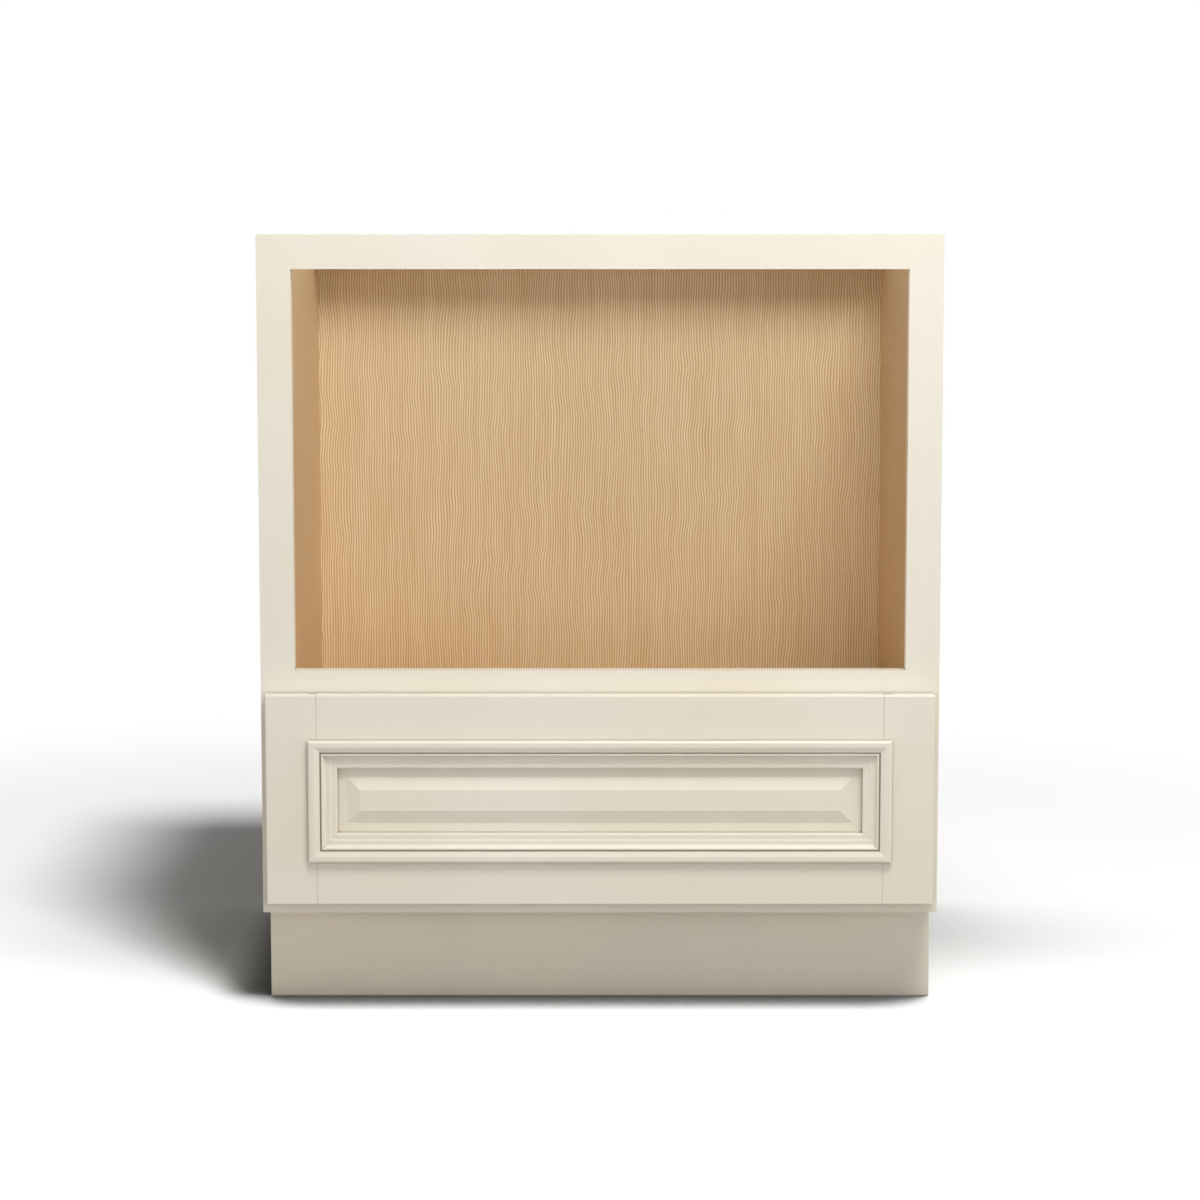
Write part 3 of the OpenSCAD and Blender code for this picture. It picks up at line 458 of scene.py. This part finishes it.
def grain(graph, along, across, pitch, wander=1.0):
    """Fine wavy lines that run along one axis. Returns the lines and a broad figure, 0 to 1."""
    run = graph.part(graph.place, along)
    side = graph.part(graph.place, across)

    def stretched(start, per_side, per_run, at=0.0):
        return graph.join(graph.times(start, per_side), graph.times(run, per_run), at)

    sway = graph.noise(stretched(side, SWAY_SCALE, SWAY_SCALE), 1.0)
    shiver = graph.noise(stretched(side, SHIVER_ACROSS, SHIVER_ALONG, SHIVER_SLICE), 1.0)
    moved = graph.plus(side, graph.times(sway, SWAY_REACH * wander))
    moved = graph.plus(moved, graph.times(shiver, SHIVER_REACH * wander))
    wave = graph.math("SINE", graph.times(moved, 2.0 * math.pi / pitch))
    streak = graph.noise(stretched(moved, STREAKS_PER_LINE / pitch, STREAK_ALONG), 1.0, 2.0, 0.6)
    lines = graph.times(graph.plus(wave, 1.0), 0.5)
    lines = graph.times(lines, graph.span(streak, STREAK_RANGE, STREAK_LEAST, 1.0))
    place = stretched(moved, FIGURE_ACROSS, FIGURE_ALONG, FIGURE_SLICE)
    return lines, graph.noise(place, 1.0, 3.0, 0.6)


def veneer_layers(graph, along, across, contrast):
    """Colour, roughness and bump of the veneer. contrast is how much its lines stand out."""
    lines, figure = grain(graph, along, across, GRAIN_PITCH)
    colour = graph.tint(VENEER, VENEER_FIGURE, figure, FIGURE_RANGE, 0.0, VENEER_FIGURE_SHARE)
    colour = graph.tint(colour, VENEER_LIGHT, lines, VENEER_LIGHT_RANGE, 0.0, contrast)
    colour = graph.tint(colour, VENEER_DARK, lines, VENEER_DARK_RANGE, 0.0, contrast)
    return colour, graph.span(lines, (0.0, 1.0), *VENEER_GLOSS), lines


def ply_edge(graph, axis):
    """The light and dark layers that show where plywood is cut. axis runs through its thickness."""
    wobble = graph.noise(graph.place, PLY_WOBBLE_SCALE)
    moved = graph.plus(graph.part(graph.place, axis), graph.times(wobble, PLY_WOBBLE_REACH))
    wave = graph.math("SINE", graph.times(moved, math.pi / PLY_LAYER))
    colour = graph.tint(PLY_LIGHT, PLY_DARK, wave, (-PLY_STEP, PLY_STEP))
    fleck = graph.noise(graph.place, PLY_FLECK_SCALE, 3.0, 0.7)
    return graph.tint(colour, PLY_DARK, fleck, PLY_FLECK_RANGE, 0.0, PLY_FLECK_SHARE)


def panel_veneer(name, along, across, thick, contrast):
    """Veneered plywood: veneer on its two faces, layers on its edges."""
    graph = Surface(name)
    colour, roughness, lines = veneer_layers(graph, along, across, contrast)
    colour = graph.blend(graph.facing_mask(thick), ply_edge(graph, thick), colour)
    return graph.finish(colour, roughness, graph.bump(lines, VENEER_DEPTH), **VENEER_COAT)


def bare_plywood(name, along, across, thick):
    graph = Surface(name)
    lines, figure = grain(graph, along, across, PLY_PITCH, PLY_WANDER)
    colour = graph.tint(PLY_FACE, PLY_FACE_DARK, figure, MIDDLE)
    colour = graph.tint(colour, PLY_FACE_DARK, lines, LATE_WOOD, 0.0, PLY_LINE_SHARE)
    colour = graph.blend(graph.facing_mask(thick), ply_edge(graph, thick), colour)
    fibre = graph.noise(graph.place, FIBRE_SCALE, 4.0, 0.7)
    roughness = graph.span(fibre, MIDDLE, *PLY_GLOSS)
    return graph.finish(colour, roughness, graph.bump(fibre, FIBRE_DEPTH))


def side_panel():
    """Paint outside, veneer inside, layers on the edges."""
    graph = Surface("side_panel")
    paint, paint_roughness, spray = cream_layers(graph)
    veneer, veneer_roughness, _ = veneer_layers(graph, "Z", "Y", SIDE_CONTRAST)
    veneer = graph.blend(SIDE_DARKER, veneer, VENEER_DARK)
    out = graph.math("ABSOLUTE", graph.part(graph.place, "X"))
    inside = graph.math("LESS_THAN", out, CASE_INNER + FACE_TOLERANCE)
    outside = graph.math("GREATER_THAN", out, CASE_OUTER - FACE_TOLERANCE)
    colour = graph.blend(inside, ply_edge(graph, "X"), veneer)
    colour = graph.blend(outside, colour, paint)
    rougher = graph.math("SUBTRACT", paint_roughness, veneer_roughness)
    roughness = graph.plus(graph.times(outside, rougher), veneer_roughness)
    return graph.finish(colour, roughness, graph.bump(spray, SPRAY_DEPTH))


def drawer_wood(name, along, across):
    """Clear-coated solid maple with end grain where the grain is cut across."""
    graph = Surface(name)
    lines, figure = grain(graph, along, across, MAPLE_PITCH, MAPLE_WANDER)
    colour = graph.tint(MAPLE, MAPLE_DARK, figure, FIGURE_RANGE)
    colour = graph.tint(colour, MAPLE_DARK, lines, LATE_WOOD, 0.0, MAPLE_LINE_SHARE)
    fleck = graph.noise(graph.place, END_FLECK_SCALE, 2.0, 0.6)
    ends = graph.tint(MAPLE, MAPLE_END, fleck, END_FLECK_RANGE, *END_FLECK_SHARES)
    colour = graph.blend(graph.facing_mask(along), colour, ends)
    roughness = graph.span(figure, MIDDLE, *MAPLE_GLOSS)
    return graph.finish(colour, roughness, graph.bump(lines, MAPLE_DEPTH), **MAPLE_COAT)


def drawer_ply():
    """Clear-coated maple plywood that lies flat."""
    graph = Surface("drawer_ply")
    lines, figure = grain(graph, "X", "Y", MAPLE_PLY_PITCH, PLY_WANDER)
    colour = graph.tint(MAPLE, MAPLE_PLY, figure, FIGURE_RANGE)
    colour = graph.tint(colour, MAPLE_DARK, lines, LATE_WOOD, 0.0, PLY_LINE_SHARE)
    colour = graph.blend(graph.facing_mask("Z"), ply_edge(graph, "Z"), colour)
    return graph.finish(colour, MAPLE_PLY_GLOSS, graph.bump(lines, MAPLE_DEPTH), **MAPLE_COAT)


def zinc_steel():
    """Galvanised steel: faint spangle, haze and drawing lines."""
    graph = Surface("zinc_steel")
    spangle = graph.noise(graph.cells(graph.place, SPANGLE_SCALE), SPANGLE_TONES, 1.0)
    colour = graph.tint(ZINC, ZINC_DARK, spangle, MIDDLE, 0.0, SPANGLE_SHARE)
    haze = graph.noise(graph.place, ZINC_HAZE_SCALE, 4.0, 0.6)
    colour = graph.tint(colour, ZINC_DARK, haze, ZINC_HAZE_RANGE, 0.0, ZINC_HAZE_SHARE)
    stretched = graph.vector_math("MULTIPLY", graph.place, DRAWN_SCALES)["Vector"]
    normal = graph.bump(graph.noise(stretched, 1.0), DRAWN_DEPTH)
    return graph.finish(colour, graph.span(haze, MIDDLE, *ZINC_GLOSS), normal, Metallic=1.0)


def screw_steel():
    """Plated steel with a faint haze."""
    graph = Surface("screw_steel")
    haze = graph.noise(graph.place, SCREW_HAZE_SCALE, 3.0, 0.6)
    colour = graph.tint(SCREW, SCREW_DARK, haze, SCREW_HAZE_RANGE)
    normal = graph.bump(haze, SCREW_DEPTH)
    return graph.finish(colour, graph.span(haze, MIDDLE, *SCREW_GLOSS), normal, Metallic=1.0)


def moulded(name, levels, dark, roughness):
    """Moulded plastic with a fine spark-eroded texture."""
    graph = Surface(name)
    drift = graph.noise(graph.place, PLASTIC_DRIFT_SCALE)
    texture = graph.noise(graph.place, PLASTIC_TEXTURE_SCALE, 2.0, 0.6)
    colour = graph.tint(levels, dark, drift, MIDDLE)
    gloss = (roughness - PLASTIC_SMOOTHER, roughness + PLASTIC_ROUGHER)
    normal = graph.bump(texture, PLASTIC_DEPTH)
    return graph.finish(colour, graph.span(texture, MIDDLE, *gloss), normal)


def material_table():
    """The material of each CAD node, by name: one of its own, or the one of its slot."""
    front = cream_paint("front_paint", CREAM, FRONT_JOINT)
    flat_ply = bare_plywood("flat_plywood", "X", "Y", "Z")
    upright_ply = bare_plywood("upright_plywood", "X", "Z", "Y")
    long_maple = drawer_wood("side_maple", "Y", "Z")
    wide_maple = drawer_wood("end_maple", "X", "Z")
    by_slot = {
        "cream_paint": cream_paint(),
        "side_panel": side_panel(),
        "drawer_ply": drawer_ply(),
        "zinc_steel": zinc_steel(),
        "screw_steel": screw_steel(),
        "grey_plastic": moulded("grey_plastic", GREY_PLASTIC, GREY_PLASTIC_DARK, 0.45),
        "white_plastic": moulded("white_plastic", WHITE_PLASTIC, WHITE_PLASTIC_DARK, 0.4),
        "orange_plastic": moulded("orange_plastic", ORANGE_PLASTIC, ORANGE_PLASTIC_DARK, 0.42),
        "bumper_rubber": moulded("bumper_rubber", RUBBER, RUBBER_DARK, 0.5),
    }
    by_node = {
        # Painted warm bounce light: the kick gets a warmer cream than the rest of the paint
        "toe_kick_board": cream_paint("kick_paint_painted_bounce", KICK_CREAM_PAINTED_BOUNCE),
        "front_stile_left": front,
        "front_stile_right": front,
        "front_rail_top": front,
        "front_rail_bottom": front,
        "back_panel": panel_veneer("back_veneer", "Z", "X", "Y", BACK_CONTRAST),
        "microwave_deck": flat_ply,
        "floor_panel": panel_veneer("shelf_veneer", "X", "Y", "Z", BOARD_CONTRAST),
        "deck_front_board": panel_veneer("board_veneer", "X", "Z", "Y", BOARD_CONTRAST),
        "back_stretcher": flat_ply,
        "front_corner_braces": flat_ply,
        "upper_hanging_rail": upright_ply,
        "lower_hanging_rail": upright_ply,
        "drawer_side_left": long_maple,
        "drawer_side_right": long_maple,
        "drawer_box_front": wide_maple,
        "drawer_box_back": wide_maple,
    }
    table = {}
    for name, node in NODES.items():
        slot = node.data.materials[0].name.split(".")[0]
        table[name] = by_node.get(name) or by_slot[slot]
    return table


# ---------------------------------------------------------------- CAD nodes


def dress_nodes():
    """Gives each CAD node its material, and eases the edges of the boards in EASED."""
    for name, material in material_table().items():
        node = NODES[name]
        node.data.materials[0] = material
        if name in EASED:
            weld = node.modifiers.new("weld", "WELD")
            weld.merge_threshold = WELD_REACH
            ease = node.modifiers.new("ease", "BEVEL")
            ease.width = EASED[name] * MM
            ease.segments = EASE_SEGMENTS
            ease.limit_method = "ANGLE"
            ease.angle_limit = math.radians(EASE_ANGLE)


# ---------------------------------------------------------------- stage


def place_in_scene(name, data):
    thing = bpy.data.objects.new(name, data)
    bpy.context.scene.collection.objects.link(thing)
    return thing


def floor_material():
    """A plain floor for the object's light, and a white one with the object's shadow for the eye;
    both carry painted shade where the object meets the floor, and the white one also beside the
    object.
    """
    graph = Surface("floor")
    graph.nodes.remove(graph.shader)
    # Painted shade: a dark line where the object meets the floor
    painted_contact_shade = graph.open_share(CONTACT_REACH, 16, CONTACT_TOWARD)
    painted_contact_shade = graph.span(painted_contact_shade, CONTACT_OPEN, CONTACT_DARK, 1.0)
    real = graph.nodes.new("ShaderNodeBsdfDiffuse")
    graph.links.new(graph.times(painted_contact_shade, FLOOR_GREY), real.inputs[0])

    # Painted shade: a wide soft darkening beside the object, on the floor that the eye sees
    shade = graph.span(graph.open_share(HALO_REACH, 16), HALO_OPEN, 1.0 - HALO_DARK, 0.0)
    beside = graph.span(graph.part(graph.place, "Y"), (HALO_FRONT, HALO_BACK))
    painted_halo_shade = graph.math("SUBTRACT", 1.0, graph.times(shade, beside))
    shaded = graph.nodes.new("ShaderNodeBsdfDiffuse")
    graph.links.new(graph.times(graph.times(painted_halo_shade, FLOOR_SEEN), painted_contact_shade), shaded.inputs[0])

    white = graph.nodes.new("ShaderNodeEmission")
    white.inputs[1].default_value = 1.0
    distance = graph.vector_math("DISTANCE", graph.place, SHADOW_MIDDLE)["Value"]
    away = graph.span(distance, (FLOOR_NEAR, FLOOR_FAR))
    seen = graph.mix_shader(away, shaded, white)
    mixed = graph.mix_shader(graph.seen_share(), real, seen)
    graph.links.new(mixed.outputs[0], graph.output.inputs[0])
    return graph.material


def floor():
    mesh = bpy.data.meshes.new("floor")
    half = FLOOR_SIZE / 2.0
    corners = [(-half, -half, 0.0), (half, -half, 0.0), (half, half, 0.0), (-half, half, 0.0)]
    mesh.from_pydata(corners, [], [(0, 1, 2, 3)])
    mesh.materials.append(floor_material())
    plane = place_in_scene("floor", mesh)
    return plane


def floor_sun(plane):
    """A wide sun that reaches the floor alone and leaves the object's shadow on it."""
    lamp = bpy.data.lights.new("floor_sun", "SUN")
    lamp.energy = FLOOR_SUN_STRENGTH
    lamp.angle = math.radians(FLOOR_SUN_ANGLE)
    holder = place_in_scene("floor_sun", lamp)
    holder.rotation_euler = FLOOR_SUN_DIRECTION.to_track_quat("Z", "Y").to_euler()
    lit = bpy.data.collections.new("lit_by_floor_sun")
    lit.objects.link(plane)
    holder.light_linking.receiver_collection = lit


def world():
    """A sky for the light, and plain white for the eye."""
    space = bpy.data.worlds.new("studio")
    bpy.context.scene.world = space
    space.use_nodes = True
    graph = Graph(space.node_tree)
    direction = graph.coordinates.outputs["Generated"]
    band = graph.span(
        graph.part(direction, "Z"), (SKY_BAND_LOW, SKY_BAND_HIGH), SKY_STRENGTH, SKY_TOP_STRENGTH
    )
    forward = graph.span(
        graph.part(direction, "Y"), (-SKY_FRONT_CLOSE, -SKY_FRONT_WIDE), SKY_FRONT_SHARE, 1.0
    )
    light = graph.nodes["Background"]
    light.inputs[0].default_value = WHITE
    graph.links.new(graph.times(band, forward), light.inputs[1])
    seen = graph.nodes.new("ShaderNodeBackground")
    seen.inputs[0].default_value = WHITE
    seen.inputs[1].default_value = 1.0
    mixed = graph.mix_shader(graph.seen_share(), light, seen)
    graph.links.new(mixed.outputs[0], graph.nodes["World Output"].inputs[0])


def soft_box(name, direction, distance, size, power):
    lamp = bpy.data.lights.new(name, "AREA")
    lamp.shape = "DISK"
    lamp.size = size
    lamp.energy = power
    holder = place_in_scene(name, lamp)
    holder.location = AIM + direction.normalized() * distance
    holder.rotation_euler = direction.to_track_quat("Z", "Y").to_euler()


def camera():
    data = bpy.data.cameras.new("camera")
    data.sensor_width = CAMERA_SENSOR
    data.lens = CAMERA_LENS
    data.clip_end = CAMERA_REACH
    holder = place_in_scene("camera", data)
    holder.location = CAMERA_PLACE
    holder.rotation_euler = (math.radians(90.0 - CAMERA_PITCH), 0.0, 0.0)
    bpy.context.scene.camera = holder


def studio():
    floor_sun(floor())
    world()
    soft_box("key", KEY_DIRECTION, KEY_DISTANCE, KEY_SIZE, KEY_POWER)
    soft_box("fill", FILL_DIRECTION, FILL_DISTANCE, FILL_SIZE, FILL_POWER)
    camera()
    bpy.context.scene.view_settings.view_transform = "Standard"


dress_nodes()
studio()
